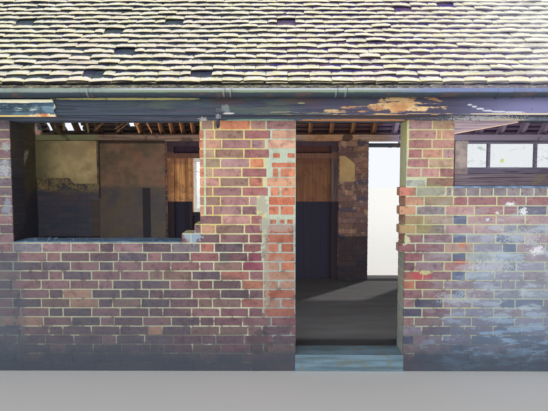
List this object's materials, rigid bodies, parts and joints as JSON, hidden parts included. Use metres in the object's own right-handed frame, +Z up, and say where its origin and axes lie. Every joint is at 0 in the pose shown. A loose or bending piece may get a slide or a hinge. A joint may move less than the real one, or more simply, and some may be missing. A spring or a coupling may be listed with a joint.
{
  "type": "derelict brick oast range with a plain-tile roof",
  "caption": "Single-storey derelict brick range of an oast: plain-tile gable roof, timber beam over open front bays and doorway, half-round gutters.",
  "frame": {"origin": "at ground level, under the middle of the whole box", "axes": "+X along the range to the right when facing the front, +Y from the front wall to the rear wall, +Z up"},
  "size_m": [8.075, 3.8696, 3.7534],
  "materials": {
    "brickwork": "weathered red and purple stock brick in pale lime mortar",
    "concrete": "rough worn concrete",
    "mortar": "broken pale mortar",
    "beam_timber": "old sawn oak, dirty",
    "roof_timber": "sawn softwood, dusty",
    "bay_timber": "dark stained softwood",
    "painted_timber": "blue-black paint, peeling to bare wood",
    "white_paint": "old white gloss paint",
    "window_glass": "dirty clear glass",
    "plaster": "stained yellow lime plaster",
    "sheet_board": "stained brown sheet board",
    "clay_tile": "hand-made clay tile with lichen",
    "gutter_iron": "old black paint on iron"
  },
  "bodies": {
    "root": {"floor_slab": "concrete", "left_gable_wall": "brickwork", "right_gable_wall": "brickwork", "front_wall_left": "brickwork", "front_apron_left": "brickwork", "centre_pier": "brickwork", "door_pier": "brickwork", "front_apron_right": "brickwork", "front_wall_right": "brickwork", "wide_sill_capping": "mortar", "right_sill_capping": "mortar", "front_threshold": "concrete", "front_beam": "beam_timber", "tapered_board": "beam_timber", "iron_hook": "gutter_iron", "rear_wall_left": "brickwork", "rear_bay_frame": "bay_timber", "rear_boarding": "bay_timber", "rear_window_frame": "white_paint", "rear_window_glass": "window_glass", "rear_pier": "brickwork", "rear_threshold": "concrete", "rear_wall_mid": "brickwork", "rear_apron_right": "brickwork", "strip_window_frame": "bay_timber", "strip_window_glass": "window_glass", "strip_board": "sheet_board", "rear_wall_plate": "beam_timber", "wall_plaster": "plaster", "wall_sheet": "sheet_board", "front_rafters": "roof_timber", "rear_rafters": "roof_timber", "ridge_board": "roof_timber", "collar_ties": "roof_timber", "front_battens": "roof_timber", "rear_battens": "roof_timber", "front_tiles": "clay_tile", "rear_tiles": "clay_tile", "ridge_tiles": "clay_tile", "front_fascia": "painted_timber", "fascia_patch": "painted_timber", "rear_fascia": "painted_timber", "front_gutter": "gutter_iron", "rear_gutter": "gutter_iron", "gutter_brackets": "gutter_iron"}
  },
  "joints": []
}
